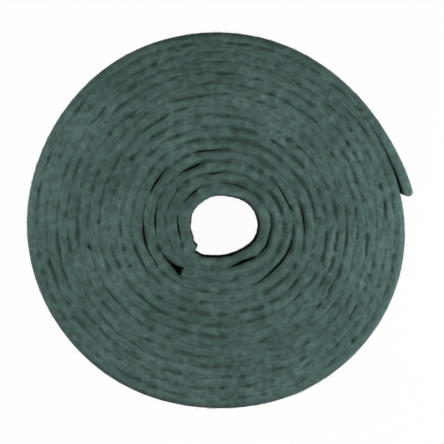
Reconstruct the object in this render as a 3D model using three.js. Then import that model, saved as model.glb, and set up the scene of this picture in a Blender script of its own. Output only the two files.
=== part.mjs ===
// An abrasive pad roll: one long strip of fibrous web wound on itself, with no tube inside.
// The roll stands on its end. Units are millimetres, +Z is the axis of the winding, and the
// lower edge of the strip lies on z = 0, with the middle of the roll's box on the Z axis.

import * as THREE from 'three';

// The strip
const STRIP_WIDTH = 150; // across the web, so the height of the roll as it stands
const WEB_AT_CORE = 6.65; // thickness where the turns lie loose
const WEB_AT_RIM = 5.45; // thickness where the winding presses the turns together
const TURN_GAP = 0.35; // air between one turn and the next where they lie close
const EDGE_CHAMFER = 0.9; // soft corner along both edges of the strip

// The winding, counted in turns from the inner end and clockwise as seen from above
const TURNS = 14.602;
const CORE_RADIUS = 16.7; // from the axis to the inner end of the strip
const INNER_END_ANGLE = 225; // degrees from +X
const STEPS_PER_TURN = 44;

// How the turns stray from true circles, at the core and at the rim. Angles are in degrees.
const CORE_OFFSET_X = 1.8; // the core lies a little off the middle
const CORE_OFFSET_Y = 0.1;
const CORE_OVAL = 2.2; // radius gained along the axis of the oval, and lost across it
const CORE_OVAL_ANGLE = 6;
const RIM_OVAL = 1.35;
const RIM_OVAL_ANGLE = -26;
const CORE_LOBES = 0.7; // height of three soft corners
const CORE_LOBES_ANGLE = -9;
const RIM_LOBES = 0.9;
const RIM_LOBES_ANGLE = -27;
const RIPPLE = 0.18; // hand-wound unevenness, at a pitch that differs from turn to turn
const RIPPLES_PER_TURN = 6.3;

// The inner end and the turns that climb over it
const END_KICK = 2.1; // how far the inner end springs out from the first turn
const END_KICK_SPAN = 0.07; // in turns
const END_STEP = 2.4; // rise of the second turn where it climbs over the inner end
const END_DIP = 1.5; // its fall just before the climb
const END_CLIMB_SPAN = 0.0175; // in turns, from the middle of the climb to its top
const BRIDGE = 2.4; // rise of the fourth turn where it spans the hollow over the climb
const BRIDGE_PLACE = 2.98; // in turns
const BRIDGE_SPAN = 0.06;
const WEDGE_GAP = 5.4; // the open wedge under that bridge
const WEDGE_SPAN = 0.1; // in turns, from its blunt end to its point
const WEDGE_CURVE = 2; // how hollow its side is, 1 being straight
const WEDGE_WALL = 0.005; // in turns, how far its blunt wall leans

// The outer end, which lifts off the roll as a short flap
const FLAP_LIFT = 1.9;
const FLAP_SPAN = 0.06; // in turns
const FLAP_CURVE = 1.5; // how late it bends away, 1 being a plain soft bend

// Places where a turn stands away from the one inside it: where, how far to each side, how wide
const LOOSE_PLACES = [
  { turn: 1.1, span: 0.07, gap: 1.1 },
  { turn: 1.27, span: 0.05, gap: 1 },
  { turn: 1.46, span: 0.05, gap: 0.9 },
  { turn: 1.68, span: 0.09, gap: 1 },
  { turn: 1.78, span: 0.07, gap: 2.2 },
  { turn: 2.37, span: 0.04, gap: 1.2 },
  { turn: 3.14, span: 0.06, gap: 1.1 },
  { turn: 3.31, span: 0.05, gap: 1.7 },
  { turn: 3.56, span: 0.05, gap: 1.1 },
  { turn: 3.71, span: 0.1, gap: 1.6 },
  { turn: 4.09, span: 0.09, gap: 1.1 },
  { turn: 4.22, span: 0.04, gap: 1.6 },
  { turn: 4.35, span: 0.04, gap: 1.5 },
  { turn: 4.62, span: 0.05, gap: 0.9 },
];

// Colour and finish of the web
const WEB_COLOUR = 0x475c58;
const WEB_ROUGHNESS = 0.97;

const { degToRad, lerp, smoothstep } = THREE.MathUtils;

function angleAt(turn) {
  return degToRad(INNER_END_ANGLE - 360 * turn);
}

// A soft bump, 1 at its place and 0 a span away on either side
function bump(turn, place, span) {
  return 1 - smoothstep(Math.abs(turn - place), 0, span);
}

// A wave round the roll with as many crests as lobes, the first of them at the given angle
function lobed(angle, lobes, crestAngle) {
  return Math.cos(lobes * (angle - degToRad(crestAngle)));
}

// Radius of a plain spiral whose pitch eases from the loose core to the tight rim
function plainRadius(turn) {
  const pitchAtCore = WEB_AT_CORE + TURN_GAP;
  const pitchAtRim = WEB_AT_RIM + TURN_GAP;
  return CORE_RADIUS + pitchAtCore * turn + ((pitchAtRim - pitchAtCore) * turn * turn) / (2 * TURNS);
}

// What the unround turns add to the plain spiral
function outOfRound(turn) {
  const angle = angleAt(turn);
  const out = Math.min(turn / TURNS, 1);
  const offset = (1 - out) * (CORE_OFFSET_X * Math.cos(angle) + CORE_OFFSET_Y * Math.sin(angle));
  const ovalAngle = lerp(CORE_OVAL_ANGLE, RIM_OVAL_ANGLE, out);
  const oval = lerp(CORE_OVAL, RIM_OVAL, out) * lobed(angle, 2, ovalAngle);
  const lobesAngle = lerp(CORE_LOBES_ANGLE, RIM_LOBES_ANGLE, out);
  const lobes = lerp(CORE_LOBES, RIM_LOBES, out) * lobed(angle, 3, lobesAngle);
  const ripple = RIPPLE * Math.sin(2 * Math.PI * RIPPLES_PER_TURN * turn);
  return offset + oval + lobes + ripple;
}

// What the inner end does to the turns that lie on it
function overInnerEnd(turn) {
  const kick = END_KICK * bump(turn, 0, END_KICK_SPAN);
  const climb = turn < 1 ? -END_DIP : END_STEP;
  const climbShare = smoothstep(Math.abs(turn - 1), 0, END_CLIMB_SPAN);
  const step = climb * climbShare * bump(turn, 1, END_KICK_SPAN);
  const bridge = BRIDGE * bump(turn, BRIDGE_PLACE, BRIDGE_SPAN);
  return kick + step + bridge;
}

// Where one turn meets the next: the inner face of the strip at this many turns
function innerRadius(turn) {
  return plainRadius(turn) + outOfRound(turn) + overInnerEnd(turn);
}

// Air under the strip at this many turns
function gapUnder(turn) {
  const loose = LOOSE_PLACES.map((place) => place.gap * bump(turn, place.turn, place.span));
  const intoWedge = turn - BRIDGE_PLACE;
  const inWedge = intoWedge >= 0 && intoWedge < WEDGE_SPAN;
  const wedge = inWedge ? WEDGE_GAP * (1 - intoWedge / WEDGE_SPAN) ** WEDGE_CURVE : 0;
  return TURN_GAP + Math.max(wedge, ...loose);
}

function flapLift(turn) {
  return FLAP_LIFT * smoothstep(turn, TURNS - FLAP_SPAN, TURNS) ** FLAP_CURVE;
}

function pointAt(turn, radius) {
  const angle = angleAt(turn);
  return new THREE.Vector2(radius * Math.cos(angle), radius * Math.sin(angle));
}

// Where the outline has its points, in turns: at even steps, at the outer end and at the wedge's wall
function stations() {
  const wall = BRIDGE_PLACE - 1;
  const fixed = [wall - WEDGE_WALL, wall, BRIDGE_PLACE, TURNS];
  const evenSteps = Math.round(TURNS * STEPS_PER_TURN);
  const even = Array.from({ length: evenSteps }, (_, step) => step / STEPS_PER_TURN);
  const clear = even.filter((turn) => fixed.every((place) => Math.abs(turn - place) > WEDGE_WALL / 2));
  return [...clear, ...fixed].sort((a, b) => a - b);
}

// The end view of the strip: out along its inner face and back along its outer face
function stripOutline() {
  const inner = [];
  const outer = [];
  for (const turn of stations()) {
    const lift = flapLift(turn);
    inner.push(pointAt(turn, innerRadius(turn) + lift));
    outer.push(pointAt(turn, innerRadius(turn + 1) - gapUnder(turn + 1) + lift));
  }
  return new THREE.Shape([...inner, ...outer.reverse()]);
}

function stripGeometry() {
  const geometry = new THREE.ExtrudeGeometry(stripOutline(), {
    depth: STRIP_WIDTH - 2 * EDGE_CHAMFER,
    steps: 1,
    bevelEnabled: true,
    bevelSegments: 1,
    bevelThickness: EDGE_CHAMFER,
    bevelSize: EDGE_CHAMFER,
    bevelOffset: -EDGE_CHAMFER,
  });
  geometry.computeBoundingBox();
  const middle = geometry.boundingBox.getCenter(new THREE.Vector3());
  geometry.translate(-middle.x, -middle.y, EDGE_CHAMFER);
  return geometry;
}

const webMaterial = new THREE.MeshStandardMaterial({
  color: WEB_COLOUR,
  roughness: WEB_ROUGHNESS,
  metalness: 0,
});

const padStrip = new THREE.Mesh(stripGeometry(), webMaterial);
padStrip.name = 'pad_strip';

const abrasivePadRoll = new THREE.Group();
abrasivePadRoll.name = 'abrasive_pad_roll';
abrasivePadRoll.add(padStrip);

export default abrasivePadRoll;
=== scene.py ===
import collections
import math

import bmesh
import bpy
import numpy as np
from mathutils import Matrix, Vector


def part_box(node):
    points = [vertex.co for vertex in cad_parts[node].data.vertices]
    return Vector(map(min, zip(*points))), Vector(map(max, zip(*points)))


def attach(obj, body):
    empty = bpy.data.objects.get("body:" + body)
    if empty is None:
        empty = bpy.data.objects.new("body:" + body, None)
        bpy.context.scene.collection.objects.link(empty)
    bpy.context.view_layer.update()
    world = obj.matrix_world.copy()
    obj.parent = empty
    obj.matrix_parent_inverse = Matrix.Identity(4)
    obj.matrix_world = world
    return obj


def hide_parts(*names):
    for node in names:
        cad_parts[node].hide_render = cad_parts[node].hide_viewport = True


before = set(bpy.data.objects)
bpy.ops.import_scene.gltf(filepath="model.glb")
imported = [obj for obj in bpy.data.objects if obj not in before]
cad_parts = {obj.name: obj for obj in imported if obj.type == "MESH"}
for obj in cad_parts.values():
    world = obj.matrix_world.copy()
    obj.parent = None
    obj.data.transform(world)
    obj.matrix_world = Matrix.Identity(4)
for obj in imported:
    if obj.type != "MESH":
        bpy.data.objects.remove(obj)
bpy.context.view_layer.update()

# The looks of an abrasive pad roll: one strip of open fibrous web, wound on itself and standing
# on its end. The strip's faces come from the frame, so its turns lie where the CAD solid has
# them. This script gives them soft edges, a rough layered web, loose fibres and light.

MM = 0.001
BODY = "root"
NODE = "pad_strip"

# How the outline of the CAD strip is read
WELD = 0.01 * MM  # points closer than this are one point
RING_DEPTH = 0.1 * MM  # the wall's upper ring of points lies further below the top than this
CUT_LENGTH = 3 * MM  # a side of that ring is a cut end of the strip if it is longer than this
CUT_ACROSS = 0.9  # and more than this share of it points towards the axis or away from it

# The loft: how closely the strip is followed along its length
STEP_AT_CORE = 1.0 * MM
STEP_AT_RIM = 1.28 * MM
CORE_LENGTH = 0.56  # length of strip from the inner end that gets the closer steps
LAST_TURN = 0.735  # length of the outermost turn, with a little more, whose outer face shows
FIRST_TURN = 0.135  # length of the innermost turn, with a little more, whose inner face shows
WALL_ROWS = 48  # rows up the outer face that shows
HOLE_ROWS = 36  # rows up the inner face that shows
WALL_SKIP = 2  # stations from one column of those rows to the next
FOOT_SKIP = 4  # the same on the lower edge and on the faces between the turns

# The strip's two ends
OUTER_ROUND = 2.6 * MM  # corners of the outer end, seen from above
INNER_ROUND = 1.5 * MM  # corner of the inner end on the side of the hole
INNER_BACK_ROUND = 0.4 * MM  # corner of the inner end that lies on the next turn
END_STEPS = 6  # stations round each of those corners
INNER_REACH = 1.6 * MM  # how far the inner end presses on into the turn that climbs over it
END_LEAN = 0.02  # how far the cut at the outer end draws back, as a share of the way down
END_LEAN_LENGTH = 12 * MM  # length of strip that draws back with it

# The cut edge of the strip, with corners that are sharp in one place and pulled round in the next
Corner = collections.namedtuple("Corner", "width depth")  # each as its least and its most
CORE_CORNER = Corner((2.0 * MM, 3.1 * MM), (0.35 * MM, 1.7 * MM))  # loose turns at the core
TURN_CORNER = Corner((1.5 * MM, 2.7 * MM), (0.1 * MM, 1.0 * MM))  # tight turns
RIM_CORNER = Corner((3.2 * MM, 4.2 * MM), (2.8 * MM, 3.8 * MM))  # the outermost edge, worn rounder
HOLE_CORNER = Corner((1.4 * MM, 2.6 * MM), (1.6 * MM, 3.2 * MM))  # the edge round the hole
FLAP_CORNER = Corner((1.8 * MM, 2.2 * MM), (1.6 * MM, 2.0 * MM))  # the free inner edge of the flap
CORNER_LENGTH = 8 * MM  # how far a corner stays the same
CORNER_SHARE = 0.47  # the most of the edge's thickness that one corner takes
TIGHT_FROM, TIGHT_AT = 0.28, 3.08  # lengths of strip between which loose turns become tight
RIM_BLEND = 0.06  # length of strip over which a corner between turns becomes the outermost edge
HOLE_BLEND = 0.03  # the same for the edge round the hole
FLAP_LENGTH = 60 * MM  # length of strip at the outer end whose inner edge is free
FLAP_BLEND = 30 * MM  # the part of that length over which the edge becomes free
SOFT_PLACES = np.array([0, 0.3, 0.65, 1])  # points across a corner that is pressed on its neighbour
ROUND_ANGLES = np.radians([0, 30, 60, 90])  # points round a corner that is free
FLAT_POINTS = 5  # points across the edge between its two corners
CROWN = 0.15 * MM  # how far the edge falls from its middle to its sides
FOOT_ROUND = 0.8 * MM  # edges that the roll stands on
FOOT_SHARE = 0.3  # the most of the thickness that one of those takes
FOOT_POINTS = 2  # points across the lower edge between them

# The seams between the turns, in dashes that are here felted shut and there an open valley
SWELL = 0.155 * MM  # how far each face fills the gap to its neighbour in the CAD solid
SEAM_WANDER, SEAM_LENGTH = 0.55 * MM, 9 * MM  # how the line between two turns strays
WANDER_START = (1.05, 1.3)  # turns from the inner end over which it begins to stray
WANDER_END = (0.25, 0.1)  # turns before the outer end over which it stops
DASH_LENGTH = 3.9 * MM
RUN_LENGTH, RUN_SHARE = 26 * MM, 0.6  # longer runs in which the dashes lie close or far apart
DASH_LEVEL = (-0.4, 1.2)  # of the noise, from felted shut to open
DASH_WIDTH = (0.12 * MM, 0.03 * MM)  # how far each face draws back in a dash, at the core and the rim
SHUT_DEPTH = 0.5 * MM  # below the corners, where neighbouring faces are pressed together

# Relief of the web: how high its features are, how large, and the seed of their noise
Relief = collections.namedtuple("Relief", "height size seed")
TURN_RELIEF = Relief(0.3 * MM, 95 * MM, 21)  # along the strip, so that neighbouring turns differ
SWELLINGS = Relief(0.5 * MM, 13 * MM, 25)
LUMPS = Relief(0.36 * MM, 4.8 * MM, 22)
TUFTS = Relief(0.2 * MM, 2.4 * MM, 23)
DOME_DROP, DOME_START = 2.2 * MM, 55 * MM  # the outer turns sink a little towards the rim
PIT_DEPTH, PIT_LENGTH, PIT_WIDTH = 0.4 * MM, 4.6 * MM, 1.5 * MM
PIT_LEVEL = (0.35, 0.95)  # of the noise, from none to the full depth
# Painted shade: the web's colour darkens with the depth of pits and seam valleys
SHADE_FULL_DEPTH = 0.95 * MM  # at which the painted shade in pits and valleys is as dark as it gets
SHADE_CURVE = 1.5  # how late the painted shade darkens them on the way down
SHADE_BETWEEN_TURNS = 1.0  # painted shade on the faces between the turns
WALL_SIZES = ((0.55 * MM, 42 * MM), (0.34 * MM, 8.5 * MM), (0.26 * MM, 3.6 * MM))  # height and size
RIM_WALL = [Relief(*sizes, seed) for seed, sizes in enumerate(WALL_SIZES, start=31)]
HOLE_WALL = [Relief(*sizes, seed) for seed, sizes in enumerate(WALL_SIZES, start=41)]
WALL_FADE = 0.25  # share of a wall's height over which its relief fades towards each edge

# Loose turns close up inside the roll, so no light comes through from below
CLOSE_DEPTHS = (26 * MM, 9 * MM)  # below the upper end
CLOSE_SHARES = (1.0, 0.3)  # of the gap that is filled at those depths
CLOSE_GAP = 0.3 * MM  # that may stay open
CLOSE_REACH = 3  # stations to each side of a gap over which it closes

# The noise: cells of its grid along and across, and the seeds that aren't given above
NOISE_CELLS = (4096, 128)
DASH_SEED = 11
VALLEY_SEED = 12
INNER_CORNER_SEED = 13
RIM_CORNER_SEED = 15
WANDER_SEED = 17
RUN_SEED = 18
PIT_SEED = 24

# Windows of the strip's parts in the atlas for baking: left, bottom, width and height
ATLAS = {
    "top": (0.005, 0.505, 0.49, 0.49),
    "foot": (0.505, 0.505, 0.49, 0.49),
    "rim": (0.005, 0.285, 0.99, 0.21),
    "hole": (0.005, 0.095, 0.18, 0.18),
    "outer": (0.195, 0.145, 0.80, 0.13),
    "inner": (0.195, 0.005, 0.80, 0.13),
    "first_end": (0.005, 0.005, 0.03, 0.085),
    "last_end": (0.045, 0.005, 0.03, 0.085),
}

# Loose fibres, with ranges of length and lift above the face, and a turn off the winding in radians
FibreSet = collections.namedtuple("FibreSet", "name face count seed length lift turn")
FIBRE_SETS = (
    FibreSet("fuzz_top", "top", 7000, 51, (2.5 * MM, 6 * MM), (0.1 * MM, 0.7 * MM), 0.5),
    FibreSet("fuzz_rim", "rim", 7000, 52, (3 * MM, 8 * MM), (0.1 * MM, 0.6 * MM), 1.6),
    FibreSet("fuzz_hole", "hole", 1500, 53, (3 * MM, 7 * MM), (0.1 * MM, 0.6 * MM), 1.6),
)
FIBRE_RADIUS = 0.065 * MM
FIBRE_SPREAD = (0.7, 1.25)  # the thinnest and the thickest, as shares of that radius
FIBRE_CRIMP = (0.06, 0.16)  # how far they sway to each side, as a share of their length
FIBRE_WAVES = (0.7, 1.6)  # waves in that sway
LOOSE_SHARE = 0.12  # of the fibres, which have one end free
LOOSE_CURVE = 1.5  # how late such a fibre leaves the face
FIBRE_POINTS = 5
FIBRE_SIDES = 3
FIBRE_SINK = 0.4 * MM  # how deep the ends are rooted in the web
FIBRE_CLEAR = 6 * MM  # no fibre stands closer to the strip's ends or to the floor
CELL_MARGIN = 0.07  # empty border of a fibre's cell in its atlas
CELL_TIP = np.array([[0.1, 0.8], [0.4, 0.8], [0.25, 0.92]])  # the closed end of a fibre in its cell
CELL_TIP_ASIDE = np.array([0.45, 0])  # from one end of a fibre to the other there

# Colours of the web, as linear light
# The darkest colour stands mostly for painted shade in pits, seams and between the turns
SHADED_CREVICE = (0.028, 0.054, 0.049, 1)
DEEP = (0.0395, 0.074, 0.067, 1)
WEB = (0.0523, 0.095, 0.086, 1)
PALE = (0.0805, 0.135, 0.125, 1)
WEB_STOPS = ((0.32, SHADED_CREVICE), (0.42, DEEP), (0.52, WEB), (0.68, PALE))
FIBRE_STOPS = ((0.38, DEEP), (0.5, WEB), (0.64, PALE))

# Patterns of the web and the fibres: features in a metre, all ways or along, across and up the strip
STREAK_SCALE = (170, 460, 170)
PORE_SCALE = (270, 480, 270)
LINE_SCALE = (55, 560, 560)
BLOTCH_SCALE = 250
PATCH_SCALE = 26
TANGLE_SCALE = 620
GRAIN_SCALE = 1500
COAT_SCALE = 260
GRIT_SCALE = 2200
LINE_ANGLES = (4, 38, 71, 112, 151)  # of the crossing fibres, in degrees from the strip's length
NOISE_MIDDLE = 0.5  # of a material's noise, which runs from 0 to 1
LINE_WIDTH = 0.045  # how far from that middle the noise of a crossing fibre may be
PORE_LEVEL = (0.56, 0.74)  # of the noise, from no painted shade to a fully shaded pore

# How much each pattern counts in the tone of the web, the first four sharing 1, and in its bump
STREAK_TONE, BLOTCH_TONE, PATCH_TONE, TANGLE_TONE = 0.26, 0.38, 0.29, 0.07
# The last two tones darken the colour as painted shade: in the web's pores, and in pits, seam valleys and
# between the turns
LINE_TONE, WALL_LINE_TONE, PORE_SHADE_TONE, PAINTED_SHADE_TONE = 0.02, 0.07, -0.09, -0.2
GRAIN_BUMP, LINE_BUMP, WALL_LINE_BUMP = 0.2, 0.1, 0.4
COAT_TONE, GRIT_TONE = 0.65, 0.35
BUMP_DISTANCE = 1.2 * MM
BUMP_STRENGTH = 0.6
WEB_ROUGHNESS = (0.82, 1.0)

# The floor and the light. Lamps are placed from the middle of the roll's upper end.
Lamp = collections.namedtuple("Lamp", "name place size power")
LAMPS = (
    Lamp("overhead", (0.1, -0.2, 1.5), 1.2, 0.2),
    Lamp("right_side", (0.375, -0.06, 0.235), 0.3, 2.95),
    Lamp("left_side", (-0.33, 0.02, 0.19), 0.3, 1.4),
)
WORLD_LIGHT = 0.1
WHITE = (1, 1, 1, 1)
FLOOR_HALF = 4.0
FLOOR_COLOUR = (0.8, 0.8, 0.8, 1)
FLOOR_GLOW = 0.97  # share of plain white in what the camera sees of the floor

# The photograph's frame
IMAGE_PIXELS = 444
PIXEL_AT_TOP = 0.5945 * MM  # size of a pixel on the upper end of the roll
ORIGIN_PIXEL = (220.75, 220.4)  # where the frame's Z axis shows
CAMERA_HEIGHT = 2.6  # above the upper end
CAMERA_ASIDE = (-10 * MM, 12 * MM)  # so the hole shows more of its walls at the lower right
CLIP_NEAR, CLIP_FAR = 0.05, 50


# Repeatable noise

def noise(along, across, seed):
    """Smooth noise from -1 to 1 over two coordinates, with features about one unit long."""
    table = np.random.default_rng(seed).uniform(-1, 1, NOISE_CELLS)
    along, across = np.broadcast_arrays(along, across)
    column = np.floor(along).astype(int)
    row = np.floor(across).astype(int)
    right_share = along - column
    up_share = across - row
    right_share = right_share * right_share * (3 - 2 * right_share)
    up_share = up_share * up_share * (3 - 2 * up_share)

    def corner(right, up):
        return table[(column + right) % NOISE_CELLS[0], (row + up) % NOISE_CELLS[1]]

    lower = corner(0, 0) * (1 - right_share) + corner(1, 0) * right_share
    upper = corner(0, 1) * (1 - right_share) + corner(1, 1) * right_share
    return lower * (1 - up_share) + upper * up_share


def felt(spot, size, seed):
    """Noise over the roll's end, on a grid turned by an angle of its own so that no grid shows."""
    across = spot[..., 0] * math.cos(seed) + spot[..., 1] * math.sin(seed)
    up = spot[..., 1] * math.cos(seed) - spot[..., 0] * math.sin(seed)
    return noise(across / size, up / size, seed)


def smooth_step(value, start, end):
    share = np.clip((value - start) / (end - start), 0, 1)
    return share * share * (3 - 2 * share)


def between(limits, share):
    return limits[0] + (limits[1] - limits[0]) * share


# The strip's two faces, read from the frame

# At each station: its distance along the strip from the inner end and that of the station one turn
# further out, its point on the inner face, the directions through the web and along it, how far
# through the web the two faces lie from that point, and the air under it. Then the strip's size.
Strip = collections.namedtuple(
    "Strip", "distance next_distance inner outward along low high gap length width"
)


def wall_ring():
    """The outline of the CAD strip seen from its end, as points in order round it."""
    solid = bmesh.new()
    solid.from_mesh(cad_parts[NODE].data)
    bmesh.ops.remove_doubles(solid, verts=solid.verts, dist=WELD)
    top = max(vert.co.z for vert in solid.verts)
    level = max(vert.co.z for vert in solid.verts if vert.co.z < top - RING_DEPTH)
    on_ring = {vert for vert in solid.verts if abs(vert.co.z - level) < WELD}
    start = min(on_ring, key=lambda vert: vert.co.xy.length)
    ring = [start]
    before, here = None, start
    while True:
        beside = [edge.other_vert(here) for edge in here.link_edges]
        onward = [vert for vert in beside if vert in on_ring and vert is not before]
        before, here = here, onward[0]
        if here is start:
            break
        ring.append(here)
    points = np.array([vert.co.xy for vert in ring])
    solid.free()
    return points


def cad_faces():
    """Matching points on the inner and the outer face, from the inner end to the outer end."""
    ring = wall_ring()
    step = np.roll(ring, -1, axis=0) - ring
    length = np.linalg.norm(step, axis=1)
    radial = ring / np.linalg.norm(ring, axis=1)[:, None]
    across = np.abs((step * radial).sum(1)) / length
    radius = np.linalg.norm(ring + step / 2, axis=1)
    cuts = np.nonzero((across > CUT_ACROSS) & (length > CUT_LENGTH))[0]
    inner_end = cuts[np.argmin(radius[cuts])]
    outer_end = cuts[np.argmax(radius[cuts])]
    ring = np.roll(ring, -(inner_end + 1), axis=0)
    far = (outer_end - inner_end) % len(ring)
    one, other = ring[:far], ring[far:][::-1]
    if np.linalg.norm(one[0]) < np.linalg.norm(other[0]):
        return one, other
    return other, one


def curve_through(places, values, at):
    """A smooth curve through the values that never swings past them."""
    gap = np.diff(places)
    slope = np.diff(values) / gap
    before, after = slope[:-1], slope[1:]
    same_way = before * after > 0
    weight_before = 2 * gap[1:] + gap[:-1]
    weight_after = gap[1:] + 2 * gap[:-1]
    safe_before = np.where(same_way, before, 1)
    safe_after = np.where(same_way, after, 1)
    blend = (weight_before + weight_after) / (weight_before / safe_before + weight_after / safe_after)
    tangent = np.concatenate([slope[:1], np.where(same_way, blend, 0), slope[-1:]])
    span = np.clip(np.searchsorted(places, at) - 1, 0, len(gap) - 1)
    share = (at - places[span]) / gap[span]
    beyond = tangent[0] * gap[0] * np.minimum(share, 0)
    share = np.maximum(share, 0)
    left = (1 - share) ** 2
    start = values[span] * (1 + 2 * share) * left + gap[span] * tangent[span] * share * left
    end = values[span + 1] * share * share * (3 - 2 * share)
    end = end - gap[span] * tangent[span + 1] * share * share * (1 - share)
    return start + end + beyond


def face_curve(points, places, at):
    """A face's points followed smoothly round the axis."""
    radius = np.linalg.norm(points, axis=1)
    angle = np.unwrap(np.arctan2(points[:, 1], points[:, 0]))
    radius = curve_through(places, radius, at)
    angle = curve_through(places, angle, at)
    return np.stack([radius * np.cos(angle), radius * np.sin(angle)], axis=1)


def gap_under(inner, outer):
    """Air between each station's inner face and the turn inside it, or none on the first turn."""
    inner_angle = np.unwrap(np.arctan2(inner[:, 1], inner[:, 0]))
    outer_angle = np.unwrap(np.arctan2(outer[:, 1], outer[:, 0]))
    outer_radius = np.linalg.norm(outer, axis=1)
    turn_inside = inner_angle + 2 * math.pi
    inside = np.interp(-turn_inside, -outer_angle, outer_radius)
    gap = np.linalg.norm(inner, axis=1) - inside
    return np.where(turn_inside > outer_angle[0], 0, gap)


def station_places(length):
    """Distances along the strip at which it is lofted."""
    near = np.arange(INNER_ROUND - INNER_REACH, CORE_LENGTH, STEP_AT_CORE)
    far = np.arange(CORE_LENGTH, length - OUTER_ROUND - STEP_AT_RIM / 2, STEP_AT_RIM)
    corner = 1 - np.cos(np.linspace(0, math.pi / 2, END_STEPS))
    first = INNER_ROUND * corner[:-1] - INNER_REACH
    last = length - OUTER_ROUND * corner[::-1]
    return np.concatenate([first, near, far, last])


def end_rounding(from_end, size):
    """How far a face draws in on its way round the corner of a cut end."""
    short = np.clip(size - from_end, 0, size)
    return size - np.sqrt(size**2 - short**2)


def seam_wander(seam_distance, seam_turn, last_turn):
    """How far the line between two turns strays outwards, the same for both faces that meet in it."""
    past_first = smooth_step(seam_turn, *WANDER_START)
    before_last = 1 - smooth_step(seam_turn, last_turn - WANDER_END[0], last_turn - WANDER_END[1])
    return past_first * before_last * SEAM_WANDER * noise(seam_distance / SEAM_LENGTH, 0, WANDER_SEED)


def read_strip():
    inner, outer = cad_faces()
    middle = (inner + outer) / 2
    steps = np.linalg.norm(np.diff(middle, axis=0), axis=1)
    places = np.concatenate([[0], np.cumsum(steps)])
    length = places[-1]
    distance = station_places(length)
    inner = face_curve(inner, places, distance)
    outer = face_curve(outer, places, distance)
    thickness = np.linalg.norm(outer - inner, axis=1)
    outward = (outer - inner) / thickness[:, None]
    along = np.stack([outward[:, 1], -outward[:, 0]], axis=1)
    outer_corner = end_rounding(length - distance, OUTER_ROUND)
    inner_corner = end_rounding(distance + INNER_REACH, INNER_ROUND)
    back_corner = end_rounding(distance + INNER_REACH, INNER_BACK_ROUND)
    angle = np.unwrap(np.arctan2(inner[:, 1], inner[:, 0]))
    turn = (angle[0] - angle) / (2 * math.pi)
    next_distance = np.interp(turn + 1, turn, distance)
    inner_wander = seam_wander(distance, turn, turn[-1])
    outer_wander = seam_wander(next_distance, turn + 1, turn[-1])
    low = outer_corner + inner_corner - SWELL + inner_wander
    high = thickness - outer_corner - back_corner + SWELL + outer_wander
    foot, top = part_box(NODE)
    return Strip(
        distance=distance,
        next_distance=next_distance,
        inner=inner,
        outward=outward,
        along=along,
        low=low[:, None],
        high=high[:, None],
        gap=gap_under(inner, outer),
        length=length,
        width=top[2] - foot[2],
    )


# The strip's section: points across the web and up its width at each station

def corner_noise(distance, seed):
    """Noise from 0 to 1 that says how large a corner is."""
    return 0.5 + 0.5 * noise(distance / CORNER_LENGTH, 0, seed)


def corner_size(limits, wide, deep):
    """Width and depth between their limits."""
    return np.stack([between(limits.width, wide), between(limits.depth, deep)])


def free_corner(distance, limits, seed):
    """Width and depth of the rounding along an edge that nothing presses on."""
    return corner_size(limits, corner_noise(distance, seed), corner_noise(distance, seed + 1))


def dashes(seam_distance):
    """How far the seam between two turns is open, from 0 to 1, the same for both of its sides."""
    runs = RUN_SHARE * noise(seam_distance / RUN_LENGTH, 0, RUN_SEED)
    return smooth_step(noise(seam_distance / DASH_LENGTH, 0, DASH_SEED) + runs, *DASH_LEVEL)


def tightness(seam_distance):
    """0 where the turns lie loose at the core and 1 where the winding presses them together."""
    return smooth_step(seam_distance, TIGHT_FROM, TIGHT_AT)


def dash_width(seam_distance):
    """How far each side of a seam draws back from it."""
    return between(DASH_WIDTH, tightness(seam_distance)) * dashes(seam_distance)


def seam_corner(seam_distance):
    """Width and depth of the valley beside a seam, larger where the turns at the core lie loose."""
    tight = tightness(seam_distance)
    wide = corner_noise(seam_distance, VALLEY_SEED)
    deep = dashes(seam_distance)
    return corner_size(CORE_CORNER, wide, deep) * (1 - tight) + corner_size(TURN_CORNER, wide, deep) * tight


def corner_points(size, free, room):
    """A corner's width, with its points' distances in from the face and their drops.

    It is a soft valley side where it is pressed on its neighbour, and an arc where it is free.
    """
    width = np.minimum(size[0], room)
    soft_drop = 0.5 + 0.5 * np.cos(math.pi * SOFT_PLACES)
    inward = SOFT_PLACES * (1 - free) + (1 - np.cos(ROUND_ANGLES)) * free
    drop = soft_drop * (1 - free) + (1 - np.sin(ROUND_ANGLES)) * free
    return width, width * inward, size[1] * drop


def end_height(strip, across, low, high):
    """Height of the roll's end without its corners and pits: crowned, domed, lumpy and tufted."""
    from_middle = 2 * (across - low) / (high - low) - 1
    radius = np.linalg.norm(strip.inner, axis=1)[:, None] + across
    outward = np.clip((radius - DOME_START) / (radius.max() - DOME_START), 0, 1)
    height = strip.width - CROWN * from_middle**2 - DOME_DROP * outward**2
    along = strip.distance[:, None] / TURN_RELIEF.size
    height = height + TURN_RELIEF.height * noise(along, 0, TURN_RELIEF.seed)
    spot = strip.inner[:, None] + strip.outward[:, None] * across[..., None]
    for relief in (SWELLINGS, LUMPS, TUFTS):
        height = height + relief.height * felt(spot, relief.size, relief.seed)
    return height


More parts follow.
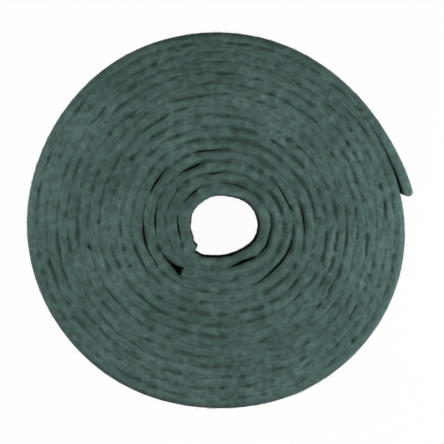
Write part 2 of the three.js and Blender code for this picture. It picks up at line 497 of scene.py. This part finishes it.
def upper_edge(strip):
    """Distances across the web, heights and painted shade of the points of the upper cut edge."""
    distance = strip.distance[:, None]
    next_distance = strip.next_distance[:, None]
    rim_start = strip.length - LAST_TURN
    flap_start = strip.length - FLAP_LENGTH
    on_rim = smooth_step(distance, rim_start, rim_start + RIM_BLEND)
    on_flap = smooth_step(distance, flap_start, flap_start + FLAP_BLEND)
    on_hole = 1 - smooth_step(distance, FIRST_TURN - HOLE_BLEND, FIRST_TURN)
    in_seam = (1 - on_hole) * (1 - on_flap)
    inner_free = np.maximum(on_hole, on_flap)

    low = strip.low + dash_width(distance) * in_seam
    high = strip.high - dash_width(next_distance) * (1 - on_rim)
    inner_size = seam_corner(distance) * in_seam
    inner_size = inner_size + free_corner(distance, FLAP_CORNER, INNER_CORNER_SEED) * on_flap
    inner_size = inner_size + free_corner(distance, HOLE_CORNER, INNER_CORNER_SEED) * on_hole
    outer_size = seam_corner(next_distance) * (1 - on_rim)
    outer_size = outer_size + free_corner(distance, RIM_CORNER, RIM_CORNER_SEED) * on_rim
    room = (high - low) * CORNER_SHARE
    inner_width, inner_in, inner_drop = corner_points(inner_size, inner_free, room)
    outer_width, outer_in, outer_drop = corner_points(outer_size, on_rim, room)
    outer_in, outer_drop = outer_in[:, ::-1], outer_drop[:, ::-1]

    flat = np.linspace(0, 1, FLAT_POINTS + 2)[1:-1]
    flat = low + inner_width + (high - low - inner_width - outer_width) * flat
    level = np.zeros_like(flat)
    across = np.concatenate([low + inner_in, flat, high - outer_in], axis=1)
    drop = np.concatenate([inner_drop, level, outer_drop], axis=1)
    # Painted shade, from the depth of the seam valleys and of the pits
    valleys = np.concatenate([inner_drop * (1 - inner_free), level, outer_drop * (1 - on_rim)], axis=1)
    pits = noise(distance / PIT_LENGTH, across / PIT_WIDTH, PIT_SEED)
    pits = PIT_DEPTH * smooth_step(pits, *PIT_LEVEL) * (1 - on_flap)
    painted_shade = np.clip((valleys + pits) / SHADE_FULL_DEPTH, 0, 1) ** SHADE_CURVE
    return across, end_height(strip, across, low, high) - drop - pits, painted_shade


def lower_edge(strip):
    """Distances and heights for the edge that the roll stands on, from the outer face to the inner."""
    bend = np.minimum(FOOT_ROUND, (strip.high - strip.low) * FOOT_SHARE)
    flat = np.linspace(1, 0, FOOT_POINTS + 2)[1:-1]
    flat = strip.low + bend + (strip.high - strip.low - 2 * bend) * flat
    across = np.concatenate([strip.high, strip.high - bend, flat, strip.low + bend, strip.low], axis=1)
    height = np.zeros_like(across)
    height[:, :1] = bend
    height[:, -1:] = bend
    return across, height


def shut_row(face, stations, corner_height):
    """The row below a corner where a hidden face is pressed against its neighbour."""
    return face[stations], corner_height[stations, None] - SHUT_DEPTH


def closing_rows(strip, stations):
    """Rows up a hidden inner face, which swells until it meets the turn inside it."""
    turned_in = strip.distance[stations] < strip.length - LAST_TURN
    near = range(-CLOSE_REACH, CLOSE_REACH + 1)
    widest = np.max([np.roll(strip.gap, step) for step in near], axis=0)
    swell = np.clip(widest[stations] - CLOSE_GAP, 0, None) * turned_in
    height = strip.width - np.array(CLOSE_DEPTHS)
    height = np.broadcast_to(height, (len(stations), len(height)))
    return strip.low[stations] - swell[:, None] * CLOSE_SHARES, height


def wall(strip, stations, start, end, rows, side, reliefs):
    """Rows of points up a face that shows, from its start edge to its end edge, with their relief.

    Each edge is a pair of distances across the web and heights. Side is 1 for an outer face and
    -1 for an inner one.
    """
    share = np.linspace(0, 1, rows + 1)[1:-1]
    across = start[0][stations, None] * (1 - share) + end[0][stations, None] * share
    height = start[1][stations, None] * (1 - share) + end[1][stations, None] * share
    distance = strip.distance[stations, None]
    proud = 0
    for relief in reliefs:
        proud = proud + relief.height * noise(distance / relief.size, height / relief.size, relief.seed)
    fade = np.clip(np.minimum(share, 1 - share) / WALL_FADE, 0, 1)
    return across + side * proud * fade, height


# Meshes

def new_object(name, points, faces, unrolled, atlas, painted_shade=0.0, creased=()):
    """A smooth mesh that keeps each point's place on the unrolled strip and an atlas for baking.

    Painted shade is 1 for points deep in a pit or a seam, where the colour darkens as if shaded.
    Creased lists the points whose joining edges stay sharp.
    """
    mesh = bpy.data.meshes.new(name)
    mesh.from_pydata(points.tolist(), [], faces)
    mesh.polygons.foreach_set("use_smooth", np.ones(len(mesh.polygons), dtype=bool))
    place = mesh.attributes.new("unrolled", "FLOAT_VECTOR", "POINT")
    place.data.foreach_set("vector", unrolled.astype(np.float32).ravel())
    depth = mesh.attributes.new("painted_shade", "FLOAT", "POINT")
    depth.data.foreach_set("value", np.broadcast_to(painted_shade, len(points)).astype(np.float32))
    layer = mesh.uv_layers.new(name="OFBake")
    layer.data.foreach_set("uv", np.asarray(atlas, dtype=np.float32).ravel())
    mesh.validate()
    on_crease = np.zeros(len(points), dtype=bool)
    on_crease[list(creased)] = True
    ends = np.empty(2 * len(mesh.edges), dtype=np.int32)
    mesh.edges.foreach_get("vertices", ends)
    mesh.edges.foreach_set("use_edge_sharp", on_crease[ends.reshape(-1, 2)].all(axis=1))
    piece = bpy.data.objects.new(name, mesh)
    bpy.context.scene.collection.objects.link(piece)
    return piece


def grid_faces(numbers):
    """Quads over a grid of point numbers, with stations down and the section's points across."""
    corners = [numbers[:-1, :-1], numbers[1:, :-1], numbers[1:, 1:], numbers[:-1, 1:]]
    return np.stack(corners, axis=-1).reshape(-1, 4)


def every_few(stations, skip):
    """Every few of the stations, with the last of them."""
    return np.unique(np.append(stations[::skip], stations[-1]))


def bridge(fine, coarse, stations, few, fine_first):
    """Faces between a row with a point at each station and a row with one at each of a few of them."""
    place = np.searchsorted(stations, few)
    faces = []
    for span in range(len(few) - 1):
        run = fine[place[span]:place[span + 1] + 1]
        if fine_first:
            faces.append([*run, coarse[span + 1], coarse[span]])
        else:
            faces.append([coarse[span], coarse[span + 1], *run[::-1]])
    return faces


class StripMesh:
    """Collects the strip's points and faces, with each point's place on the unrolled strip."""

    def __init__(self, strip):
        self.strip = strip
        self.points = np.empty((0, 3))
        self.unrolled = np.empty((0, 3))
        self.painted_shade = np.empty(0)
        self.faces = []
        self.atlas = []

    def add_points(self, stations, across, height, painted_shade=0.0):
        """Points across the web and up it at the stations. Gives back the grid of their numbers."""
        strip = self.strip
        flat = strip.inner[stations, None] + strip.outward[stations, None] * across[..., None]
        to_end = strip.length - strip.distance[stations, None]
        back = END_LEAN * (strip.width - height) * (1 - smooth_step(to_end, 0, END_LEAN_LENGTH))
        flat = flat - strip.along[stations, None] * back[..., None]
        points = np.concatenate([flat, height[..., None]], axis=-1)
        distance = np.broadcast_to(strip.distance[stations, None], across.shape)
        unrolled = np.stack([distance, across, height], axis=-1)
        numbers = len(self.points) + np.arange(across.size).reshape(across.shape)
        self.points = np.concatenate([self.points, points.reshape(-1, 3)])
        self.unrolled = np.concatenate([self.unrolled, unrolled.reshape(-1, 3)])
        self.painted_shade = np.concatenate([self.painted_shade, np.broadcast_to(painted_shade, across.shape).ravel()])
        return numbers

    def add_faces(self, part, faces, flat):
        """Faces of a part of the strip, spread over its window of the atlas by their flat places."""
        corners = np.concatenate([np.ravel(face) for face in faces])
        least = flat[corners].min(0)
        size = flat[corners].max(0) - least
        window_start, window_size = np.split(np.array(ATLAS[part]), 2)
        spot = (flat - least) / size * window_size + window_start
        self.faces.extend([int(number) for number in face] for face in faces)
        self.atlas.extend(spot[corners])


Stations = collections.namedtuple(
    "Stations",
    "every hole rim inner_hidden outer_hidden few few_hole few_rim few_inner few_outer wall_hole wall_rim",
)


def choose_stations(strip):
    """The stations of each face, and the few of them that its rows below the upper edge use."""
    every = np.arange(len(strip.distance))
    hole_end = np.searchsorted(strip.distance, FIRST_TURN)
    core_end = np.searchsorted(strip.distance, CORE_LENGTH)
    rim_start = np.searchsorted(strip.distance, strip.length - LAST_TURN)
    hole, core = every[:hole_end + 1], every[hole_end:core_end + 1]
    wound, rim = every[core_end:rim_start + 1], every[rim_start:]
    thinned = [every_few(part, FOOT_SKIP) for part in (hole, wound, rim)]
    few = np.unique(np.concatenate([core, *thinned]))
    return Stations(
        every=every,
        hole=hole,
        rim=rim,
        inner_hidden=every[hole_end:],
        outer_hidden=every[:rim_start + 1],
        few=few,
        few_hole=few[few <= hole_end],
        few_rim=few[few >= rim_start],
        few_inner=few[few >= hole_end],
        few_outer=few[few <= rim_start],
        wall_hole=every_few(hole, WALL_SKIP),
        wall_rim=every_few(rim, WALL_SKIP),
    )


Rows = collections.namedtuple("Rows", "top foot rim hole outer_hidden inner_hidden")


def add_rows(mesh, strip, at):
    """The strip's points, as grids of their numbers with a line for each station."""
    across, height, painted_shade = upper_edge(strip)
    foot_across, foot_height = lower_edge(strip)
    upper_inner = (across[:, 0], height[:, 0])
    upper_outer = (across[:, -1], height[:, -1])
    lower_outer = (foot_across[:, 0], foot_height[:, 0])
    lower_inner = (foot_across[:, -1], foot_height[:, -1])
    rim_wall = wall(strip, at.wall_rim, upper_outer, lower_outer, WALL_ROWS, 1, RIM_WALL)
    hole_wall = wall(strip, at.wall_hole, lower_inner, upper_inner, HOLE_ROWS, -1, HOLE_WALL)
    outer_pressed = shut_row(strip.high, at.few_outer, height[:, -1])
    inner_pressed = shut_row(strip.low, at.few_inner, height[:, 0])

    top = mesh.add_points(at.every, across, height, painted_shade)
    foot = mesh.add_points(at.few, foot_across[at.few], foot_height[at.few])
    rim = mesh.add_points(at.wall_rim, *rim_wall)
    hole = mesh.add_points(at.wall_hole, *hole_wall)
    # The hidden faces between the turns get the full painted shade
    outer_shut = mesh.add_points(at.few_outer, *outer_pressed, SHADE_BETWEEN_TURNS)
    closing = mesh.add_points(at.few_inner, *closing_rows(strip, at.few_inner), SHADE_BETWEEN_TURNS)
    inner_shut = mesh.add_points(at.few_inner, *inner_pressed, SHADE_BETWEEN_TURNS)
    return Rows(top, foot, rim, hole, outer_shut, np.concatenate([closing, inner_shut], axis=1))


def join_rows(mesh, at, rows):
    """Faces between the rows, all round the strip and over both of its ends."""
    top, foot = rows.top, rows.foot
    outer_foot, inner_foot = foot[:, 0], foot[:, -1]
    rim_foot = outer_foot[np.isin(at.few, at.few_rim)]
    hole_foot = inner_foot[np.isin(at.few, at.few_hole)]
    outer_hidden_foot = outer_foot[np.isin(at.few, at.few_outer), None]
    inner_hidden_foot = inner_foot[np.isin(at.few, at.few_inner), None]
    rim_faces = [
        *bridge(top[at.rim, -1], rows.rim[:, 0], at.rim, at.wall_rim, True),
        *grid_faces(rows.rim),
        *bridge(rows.rim[:, -1], rim_foot, at.wall_rim, at.few_rim, True),
        [top[at.rim[0], -1], *rows.rim[0], rim_foot[0], rows.outer_hidden[-1, 0]],
    ]
    hole_faces = [
        *bridge(rows.hole[:, 0], hole_foot, at.wall_hole, at.few_hole, False),
        *grid_faces(rows.hole),
        *bridge(top[at.hole, 0], rows.hole[:, -1], at.hole, at.wall_hole, False),
        [inner_hidden_foot[0, 0], *rows.inner_hidden[0], top[at.hole[-1], 0], *rows.hole[-1][::-1]],
    ]
    outer_faces = [
        *bridge(top[at.outer_hidden, -1], rows.outer_hidden[:, 0], at.outer_hidden, at.few_outer, True),
        *grid_faces(np.concatenate([rows.outer_hidden, outer_hidden_foot], axis=1)),
    ]
    inner_faces = [
        *grid_faces(np.concatenate([inner_hidden_foot, rows.inner_hidden], axis=1)),
        *bridge(top[at.inner_hidden, 0], rows.inner_hidden[:, -1], at.inner_hidden, at.few_inner, False),
    ]
    first_end = [*top[0], *rows.outer_hidden[0], *foot[0], *rows.hole[0]]
    last_end = [*top[-1], *rows.rim[-1], *foot[-1], *rows.inner_hidden[-1]][::-1]

    from_above = mesh.points[:, :2]
    from_the_side = mesh.unrolled[:, [0, 2]]
    from_the_end = mesh.unrolled[:, [1, 2]]
    mesh.add_faces("top", grid_faces(top), from_above)
    mesh.add_faces("foot", grid_faces(foot), from_above)
    mesh.add_faces("rim", rim_faces, from_the_side)
    mesh.add_faces("hole", hole_faces, from_the_side)
    mesh.add_faces("outer", outer_faces, from_the_side)
    mesh.add_faces("inner", inner_faces, from_the_side)
    mesh.add_faces("first_end", [first_end], from_the_end)
    mesh.add_faces("last_end", [last_end], from_the_end)


def build_strip(strip):
    """One closed mesh of the whole strip, with close rows only on the faces that show.

    Also gives back the points of those faces, with their stations.
    """
    mesh = StripMesh(strip)
    at = choose_stations(strip)
    rows = add_rows(mesh, strip, at)
    join_rows(mesh, at, rows)
    wound_in = at.inner_hidden[strip.distance[at.inner_hidden] < strip.length - FLAP_LENGTH]
    seams = np.concatenate([rows.top[at.outer_hidden, -1], rows.top[wound_in, 0]])
    piece = new_object("web_strip", mesh.points, mesh.faces, mesh.unrolled, mesh.atlas, mesh.painted_shade, seams)
    grids = {
        "top": (mesh.points[rows.top], at.every),
        "rim": (mesh.points[rows.rim], at.wall_rim),
        "hole": (mesh.points[rows.hole], at.wall_hole),
    }
    return piece, grids


# Loose fibres

# Points that fibres may stand on, with the direction out of the face and two directions in it
Roots = collections.namedtuple("Roots", "points away along side")


def fibre_roots(strip, grid, face):
    """Roots on the grid of points of a face, clear of the strip's ends and of the floor."""
    points, stations = grid
    zero = np.zeros((len(stations), 1))
    outward = np.concatenate([strip.outward[stations], zero], axis=1)[:, None]
    along = np.concatenate([strip.along[stations], zero], axis=1)[:, None]
    up = np.array([0.0, 0.0, 1.0])
    away = {"top": up, "rim": outward, "hole": -outward}[face]
    side = outward if face == "top" else up
    from_end = np.minimum(strip.distance[stations], strip.length - strip.distance[stations])
    clear = np.minimum(from_end[:, None], points[..., 2]) > FIBRE_CLEAR
    return Roots(*(np.broadcast_to(values, points.shape)[clear] for values in (points, away, along, side)))


def fibre_piece(fibres, roots):
    """Crimped fibres that leave the web and go back into it, as closed three-sided threads."""
    draw = np.random.default_rng(fibres.seed)
    count = fibres.count
    pick = draw.integers(0, len(roots.points), count)
    angle = draw.normal(0, fibres.turn, count)[:, None]
    length = draw.uniform(*fibres.length, count)[:, None]
    height = between(fibres.lift, draw.uniform(0, 1, count) ** 2)[:, None]
    crimp = draw.uniform(*FIBRE_CRIMP, count)[:, None] * length
    phase = draw.uniform(0, 2 * math.pi, count)[:, None]
    waves = draw.uniform(*FIBRE_WAVES, count)[:, None]
    loose = (draw.uniform(0, 1, count) < LOOSE_SHARE)[:, None]
    radius = draw.uniform(*FIBRE_SPREAD, count)[:, None, None, None] * FIBRE_RADIUS
    root, away = roots.points[pick], roots.away[pick]
    forward = np.cos(angle) * roots.along[pick] + np.sin(angle) * roots.side[pick]
    beside = np.cross(away, forward)

    share = np.linspace(0, 1, FIBRE_POINTS)[None, :]
    run = length * (share - 0.5)
    sway = crimp * (np.sin(phase + 2 * math.pi * waves * share) - np.sin(phase + math.pi * waves))
    arch = np.where(loose, share**LOOSE_CURVE, 1 - (2 * share - 1) ** 2)
    rise = (height + FIBRE_SINK) * arch - FIBRE_SINK
    centre = (
        root[:, None]
        + run[..., None] * forward[:, None]
        + sway[..., None] * beside[:, None]
        + rise[..., None] * away[:, None]
    )
    around = np.arange(FIBRE_SIDES) * 2 * math.pi / FIBRE_SIDES
    spoke = (
        np.sin(around)[None, :, None] * beside[:, None]
        + np.cos(around)[None, :, None] * away[:, None]
    )
    points = (centre[:, :, None] + radius * spoke[:, None]).reshape(-1, 3)

    number = np.arange(len(points)).reshape(count, FIBRE_POINTS, FIBRE_SIDES)
    after = np.roll(number, -1, axis=2)
    walls = np.stack([number[:, :-1], after[:, :-1], after[:, 1:], number[:, 1:]], axis=-1)
    faces = walls.reshape(-1, 4).tolist()
    faces += number[:, 0, ::-1].tolist()
    faces += number[:, -1].tolist()
    unrolled = np.repeat(root, FIBRE_POINTS * FIBRE_SIDES, axis=0)
    return new_object(fibres.name, points, faces, unrolled, fibre_atlas(count))


def fibre_atlas(count):
    """A cell of the atlas for each fibre, with its sides one above the other in it."""
    cells = math.ceil(math.sqrt(count))
    cell = np.stack(np.divmod(np.arange(count), cells), axis=1)[:, None, None, None]
    along = np.arange(FIBRE_POINTS - 1)[None, :, None, None] + np.array([0, 0, 1, 1])
    up = np.arange(FIBRE_SIDES)[None, None, :, None] + np.array([0, 1, 1, 0])
    along, up = np.broadcast_arrays(along, up)
    spot = np.stack([along / (FIBRE_POINTS - 1), up / (FIBRE_SIDES + 1)], axis=-1)
    spot = spot * (1 - 2 * CELL_MARGIN) + CELL_MARGIN
    walls = ((cell + spot) / cells).reshape(-1, 2)
    root_ends = ((cell[:, 0, 0] + CELL_TIP) / cells).reshape(-1, 2)
    tips = ((cell[:, 0, 0] + CELL_TIP + CELL_TIP_ASIDE) / cells).reshape(-1, 2)
    return np.concatenate([walls, root_ends, tips])


# Materials

def add_node(tree, kind, inputs, **settings):
    """A node with its inputs set or linked. Gives back its first output."""
    node = tree.nodes.new(kind)
    for name, value in settings.items():
        setattr(node, name, value)
    for socket, value in inputs.items():
        if isinstance(value, bpy.types.NodeSocket):
            tree.links.new(value, node.inputs[socket])
        else:
            node.inputs[socket].default_value = value
    return node.outputs[0]


def math_node(tree, operation, *values):
    return add_node(tree, "ShaderNodeMath", dict(enumerate(values)), operation=operation)


def weighed(tree, total, *parts):
    """A value with others added to it, each times its weight."""
    for value, weight in parts:
        total = math_node(tree, "MULTIPLY_ADD", value, weight, total)
    return total


def noise_node(tree, vector, scale=1.0, detail=1.0, roughness=0.5):
    inputs = {"Vector": vector, "Scale": scale, "Detail": detail, "Roughness": roughness}
    return add_node(tree, "ShaderNodeTexNoise", inputs)


def range_node(tree, value, start, end, low=0.0, high=1.0):
    """A value carried over from one range to another, and held at its ends."""
    inputs = {"Value": value, "From Min": start, "From Max": end, "To Min": low, "To Max": high}
    return add_node(tree, "ShaderNodeMapRange", inputs)


def attribute_node(tree, name, output):
    node = tree.nodes.new("ShaderNodeAttribute")
    node.attribute_name = name
    return node.outputs[output]


def object_place(tree):
    return tree.nodes.new("ShaderNodeTexCoord").outputs["Object"]


def stretched(tree, place, scale):
    return add_node(tree, "ShaderNodeVectorMath", {0: place, 1: scale}, operation="MULTIPLY")


def colour_ramp(tree, factor, stops):
    node = tree.nodes.new("ShaderNodeValToRGB")
    tree.links.new(factor, node.inputs["Fac"])
    ramp = node.color_ramp
    ramp.elements.remove(ramp.elements[1])
    ramp.elements[0].position, ramp.elements[0].color = stops[0]
    for place, colour in stops[1:]:
        ramp.elements.new(place).color = colour
    return node.outputs["Color"]


def new_material(name):
    material = bpy.data.materials.new(name)
    material.use_nodes = True
    tree = material.node_tree
    shader = tree.nodes["Principled BSDF"]
    return material, tree, shader


def fibre_lines(tree, place):
    """Thin wavy lines that cross each other in the plane of the web, 1 on a fibre and 0 off it."""
    lines = None
    for degrees in LINE_ANGLES:
        inputs = {"Vector": place, "Angle": math.radians(degrees)}
        turned = add_node(tree, "ShaderNodeVectorRotate", inputs, rotation_type="Y_AXIS")
        wavy = noise_node(tree, stretched(tree, turned, LINE_SCALE))
        off = math_node(tree, "ABSOLUTE", math_node(tree, "SUBTRACT", wavy, NOISE_MIDDLE))
        line = range_node(tree, off, 0.0, LINE_WIDTH, low=1.0, high=0.0)
        lines = line if lines is None else math_node(tree, "MAXIMUM", lines, line)
    return lines


def wall_share(tree):
    """1 on the wide faces of the web, which stand upright, and 0 on its cut edges."""
    normal = tree.nodes.new("ShaderNodeNewGeometry").outputs["Normal"]
    parts = tree.nodes.new("ShaderNodeSeparateXYZ")
    tree.links.new(normal, parts.inputs["Vector"])
    return math_node(tree, "SUBTRACT", 1.0, math_node(tree, "ABSOLUTE", parts.outputs["Z"]))


def web_material():
    """Open web: flat layers that show as streaks on a cut edge, crossing fibres, and painted shade in its
    pores, pits and seams.
    """
    material, tree, shader = new_material("fibrous_web")
    place = attribute_node(tree, "unrolled", "Vector")
    # Painted shade in pits, seam valleys and between the turns, from the strip's attribute
    painted_shade = attribute_node(tree, "painted_shade", "Fac")
    solid = object_place(tree)
    streaks = noise_node(tree, stretched(tree, place, STREAK_SCALE), detail=2.0)
    blotches = noise_node(tree, solid, BLOTCH_SCALE)
    patches = noise_node(tree, solid, PATCH_SCALE)
    tangle = noise_node(tree, solid, TANGLE_SCALE)
    grain = noise_node(tree, solid, GRAIN_SCALE, detail=2.0, roughness=0.6)
    # Painted shade in the open pores between the fibres
    gaps = noise_node(tree, stretched(tree, place, PORE_SCALE))
    pore_shade = range_node(tree, gaps, *PORE_LEVEL)
    lines = fibre_lines(tree, place)
    wall_lines = math_node(tree, "MULTIPLY", lines, wall_share(tree))

    layers = [(streaks, STREAK_TONE), (blotches, BLOTCH_TONE), (patches, PATCH_TONE), (tangle, TANGLE_TONE)]
    # Marks: lighter crossing fibres, then painted shade in the pores and in pits and seams
    marks = [(lines, LINE_TONE), (wall_lines, WALL_LINE_TONE), (pore_shade, PORE_SHADE_TONE), (painted_shade, PAINTED_SHADE_TONE)]
    tone = weighed(tree, 0.0, *layers, *marks)
    tree.links.new(colour_ramp(tree, tone, WEB_STOPS), shader.inputs["Base Color"])
    height = weighed(tree, tone, (grain, GRAIN_BUMP), (lines, LINE_BUMP), (wall_lines, WALL_LINE_BUMP))
    bump = {"Height": height, "Distance": BUMP_DISTANCE, "Strength": BUMP_STRENGTH}
    tree.links.new(add_node(tree, "ShaderNodeBump", bump), shader.inputs["Normal"])
    rough = range_node(tree, grain, 0.0, 1.0, *WEB_ROUGHNESS)
    tree.links.new(rough, shader.inputs["Roughness"])
    shader.inputs["Specular IOR Level"].default_value = 0.15
    shader.inputs["Sheen Weight"].default_value = 0.06
    shader.inputs["Sheen Roughness"].default_value = 0.5
    return material


def fibre_material():
    """Single fibres, darker and paler from place to place with the binder and grit on them."""
    material, tree, shader = new_material("loose_fibre")
    solid = object_place(tree)
    coat = noise_node(tree, solid, COAT_SCALE, detail=2.0, roughness=0.6)
    grit = noise_node(tree, solid, GRIT_SCALE)
    tone = weighed(tree, 0.0, (coat, COAT_TONE), (grit, GRIT_TONE))
    tree.links.new(colour_ramp(tree, tone, FIBRE_STOPS), shader.inputs["Base Color"])
    shader.inputs["Roughness"].default_value = 0.7
    shader.inputs["Specular IOR Level"].default_value = 0.35
    return material


# The floor, the light and the camera

def seen_directly(tree):
    """1 for rays from the camera, from a mirror or through glass, and 0 for light on the object."""
    path = tree.nodes.new("ShaderNodeLightPath")
    either = math_node(tree, "MAXIMUM", path.outputs["Is Camera Ray"], path.outputs["Is Glossy Ray"])
    return math_node(tree, "MAXIMUM", either, path.outputs["Is Transmission Ray"])


def floor_material():
    """Pale and matt, and almost white where the camera sees it, with the roll's shadow on it."""
    material, tree, shader = new_material("pale_floor")
    shader.inputs["Base Color"].default_value = FLOOR_COLOUR
    shader.inputs["Roughness"].default_value = 0.9
    shader.inputs["Specular IOR Level"].default_value = 0.0
    glow = add_node(tree, "ShaderNodeEmission", {"Color": WHITE, "Strength": 1.0})
    share = math_node(tree, "MULTIPLY", seen_directly(tree), FLOOR_GLOW)
    mixed = add_node(tree, "ShaderNodeMixShader", {0: share, 1: shader.outputs["BSDF"], 2: glow})
    tree.links.new(mixed, tree.nodes["Material Output"].inputs["Surface"])
    return material


def make_floor():
    mesh = bpy.data.meshes.new("floor")
    corners = [(x * FLOOR_HALF, y * FLOOR_HALF, 0) for x, y in ((-1, -1), (1, -1), (1, 1), (-1, 1))]
    mesh.from_pydata(corners, [], [(0, 1, 2, 3)])
    mesh.materials.append(floor_material())
    floor = bpy.data.objects.new("floor", mesh)
    bpy.context.scene.collection.objects.link(floor)


def make_world():
    world = bpy.data.worlds.new("studio")
    bpy.context.scene.world = world
    world.use_nodes = True
    tree = world.node_tree
    background = tree.nodes["Background"]
    background.inputs["Color"].default_value = WHITE
    strength = range_node(tree, seen_directly(tree), 0.0, 1.0, low=WORLD_LIGHT)
    tree.links.new(strength, background.inputs["Strength"])


def make_lights(top):
    """Round soft boxes, all aimed at the middle of the roll's upper end."""
    aim = Vector((0, 0, top))
    for lamp in LAMPS:
        light = bpy.data.lights.new(lamp.name, "AREA")
        light.shape = "DISK"
        light.size = lamp.size
        light.energy = lamp.power
        soft_box = bpy.data.objects.new(lamp.name, light)
        soft_box.location = aim + Vector(lamp.place)
        soft_box.rotation_euler = (-Vector(lamp.place)).to_track_quat("-Z", "Y").to_euler()
        soft_box.visible_camera = False
        bpy.context.scene.collection.objects.link(soft_box)


def make_camera(top):
    """Almost straight above the roll, with the photograph's scale and framing at its upper end."""
    data = bpy.data.cameras.new("camera")
    camera = bpy.data.objects.new("camera", data)
    bpy.context.scene.collection.objects.link(camera)
    half_view = IMAGE_PIXELS * PIXEL_AT_TOP / 2
    data.angle = 2 * math.atan(half_view / CAMERA_HEIGHT)
    middle = IMAGE_PIXELS / 2
    right = (middle - ORIGIN_PIXEL[0]) * PIXEL_AT_TOP
    up = (ORIGIN_PIXEL[1] - middle) * PIXEL_AT_TOP
    camera.location = (right + CAMERA_ASIDE[0], up + CAMERA_ASIDE[1], top + CAMERA_HEIGHT)
    lean = [math.atan(aside / CAMERA_HEIGHT) for aside in CAMERA_ASIDE]
    camera.rotation_euler = (-lean[1], lean[0], 0)
    data.clip_start = CLIP_NEAR
    data.clip_end = CLIP_FAR
    bpy.context.scene.camera = camera


def main():
    strip = read_strip()
    web, grids = build_strip(strip)
    web.data.materials.append(web_material())
    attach(web, BODY)
    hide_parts(NODE)

    fibre = fibre_material()
    for fibres in FIBRE_SETS:
        piece = fibre_piece(fibres, fibre_roots(strip, grids[fibres.face], fibres.face))
        piece.data.materials.append(fibre)
        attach(piece, BODY)

    make_floor()
    make_world()
    make_lights(strip.width)
    make_camera(strip.width)
    bpy.context.scene.view_settings.view_transform = "Standard"


main()
